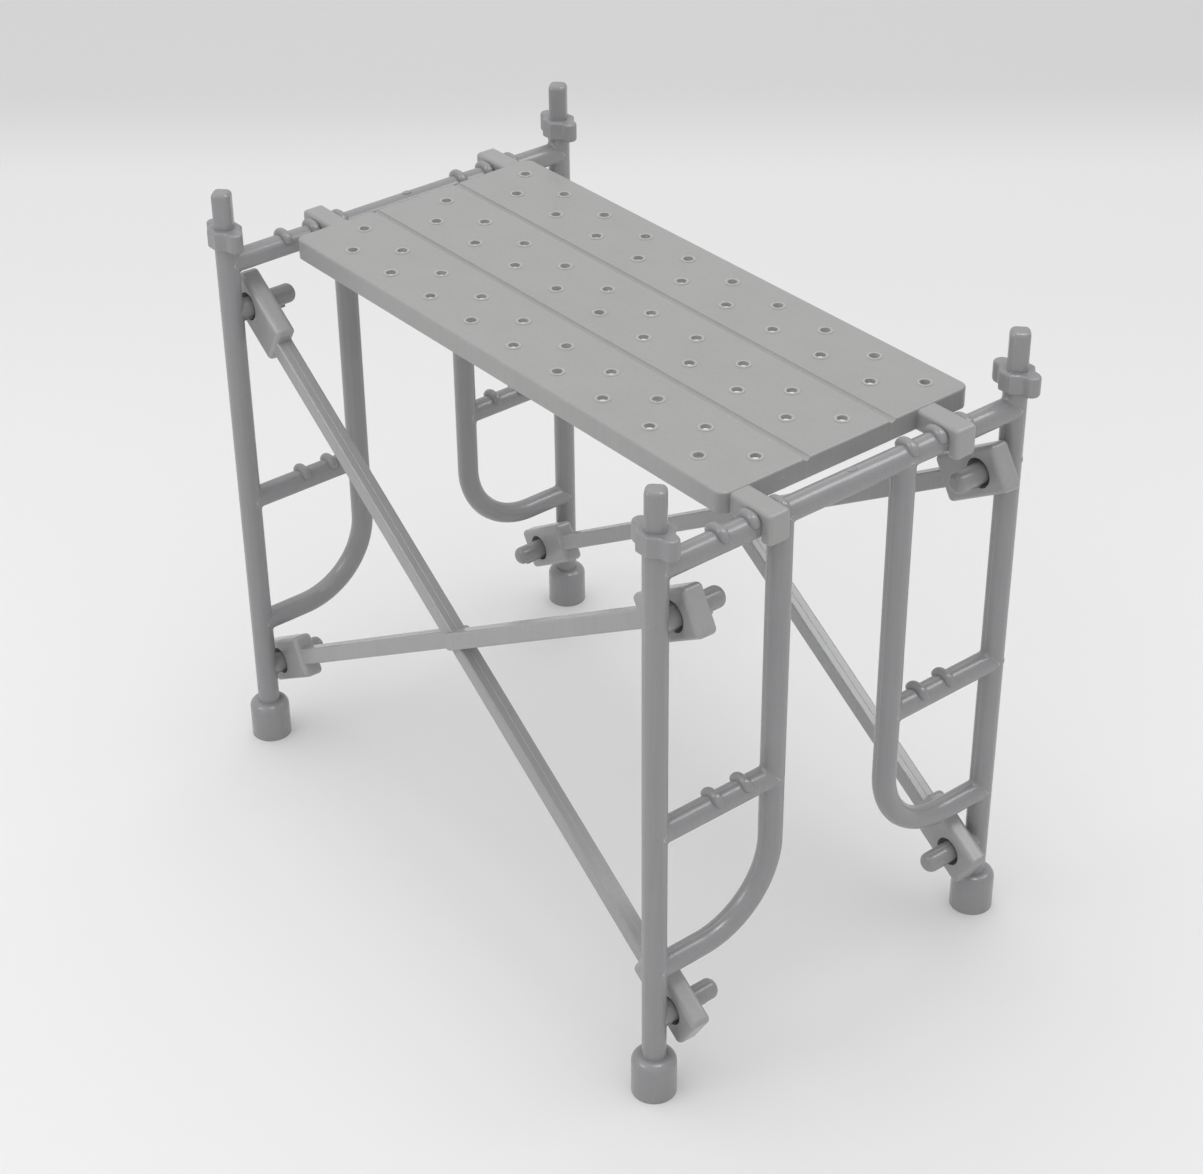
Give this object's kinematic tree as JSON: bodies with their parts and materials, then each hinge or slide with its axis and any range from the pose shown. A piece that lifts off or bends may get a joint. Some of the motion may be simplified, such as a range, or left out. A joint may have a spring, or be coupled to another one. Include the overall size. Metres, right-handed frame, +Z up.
{
  "type": "miniature scaffold bay",
  "caption": "Grey plastic miniature of a portal-frame scaffold bay with two end frames, crossed braces and a lift-off perforated deck on hooks.",
  "frame": {"origin": "on the floor, in the middle of the plan of the whole bay", "axes": "+X along the deck from the left frame to the right frame, +Y to the rear side, +Z up"},
  "size_m": [0.1676, 0.108, 0.142],
  "materials": {
    "frame_plastic": "satin moulded grey",
    "deck_plastic": "fine matt moulded grey",
    "brace_plastic": "satin moulded grey"
  },
  "bodies": {
    "frames": {"left_front_post": "frame_plastic", "left_front_foot": "frame_plastic", "left_front_collar": "frame_plastic", "left_front_pin": "frame_plastic", "left_front_stiffener": "frame_plastic", "left_front_rung": "frame_plastic", "left_front_upper_peg": "frame_plastic", "left_front_lower_peg": "frame_plastic", "left_rear_post": "frame_plastic", "left_rear_foot": "frame_plastic", "left_rear_collar": "frame_plastic", "left_rear_pin": "frame_plastic", "left_rear_stiffener": "frame_plastic", "left_rear_rung": "frame_plastic", "left_rear_upper_peg": "frame_plastic", "left_rear_lower_peg": "frame_plastic", "left_crossbar": "frame_plastic", "left_crossbar_stops": "frame_plastic", "left_rung_stops": "frame_plastic", "right_front_post": "frame_plastic", "right_front_foot": "frame_plastic", "right_front_collar": "frame_plastic", "right_front_pin": "frame_plastic", "right_front_stiffener": "frame_plastic", "right_front_rung": "frame_plastic", "right_front_upper_peg": "frame_plastic", "right_front_lower_peg": "frame_plastic", "right_rear_post": "frame_plastic", "right_rear_foot": "frame_plastic", "right_rear_collar": "frame_plastic", "right_rear_pin": "frame_plastic", "right_rear_stiffener": "frame_plastic", "right_rear_rung": "frame_plastic", "right_rear_upper_peg": "frame_plastic", "right_rear_lower_peg": "frame_plastic", "right_crossbar": "frame_plastic", "right_crossbar_stops": "frame_plastic", "right_rung_stops": "frame_plastic"},
    "deck": {"deck_front_panel": "deck_plastic", "deck_middle_panel": "deck_plastic", "deck_rear_panel": "deck_plastic", "deck_left_front_hook": "deck_plastic", "deck_left_rear_hook": "deck_plastic", "deck_right_front_hook": "deck_plastic", "deck_right_rear_hook": "deck_plastic"},
    "front_brace": {"front_brace_diagonal": "brace_plastic", "front_brace_upper_arm": "brace_plastic", "front_brace_lower_arm": "brace_plastic", "front_brace_left_lower_eye": "brace_plastic", "front_brace_left_upper_eye": "brace_plastic", "front_brace_right_lower_eye": "brace_plastic", "front_brace_right_upper_eye": "brace_plastic"},
    "rear_brace": {"rear_brace_diagonal": "brace_plastic", "rear_brace_upper_arm": "brace_plastic", "rear_brace_lower_arm": "brace_plastic", "rear_brace_left_lower_eye": "brace_plastic", "rear_brace_left_upper_eye": "brace_plastic", "rear_brace_right_lower_eye": "brace_plastic", "rear_brace_right_upper_eye": "brace_plastic"}
  },
  "joints": [
    {"name": "deck_lift", "type": "slide", "parent": "frames", "child": "deck", "axis": [0, 0, 1], "range_m": [0, 0.012]},
    {"name": "front_brace_pull", "type": "slide", "parent": "frames", "child": "front_brace", "axis": [0, 1, 0], "range_m": [0, 0.0125]},
    {"name": "rear_brace_pull", "type": "slide", "parent": "frames", "child": "rear_brace", "axis": [0, -1, 0], "range_m": [0, 0.0125]}
  ]
}
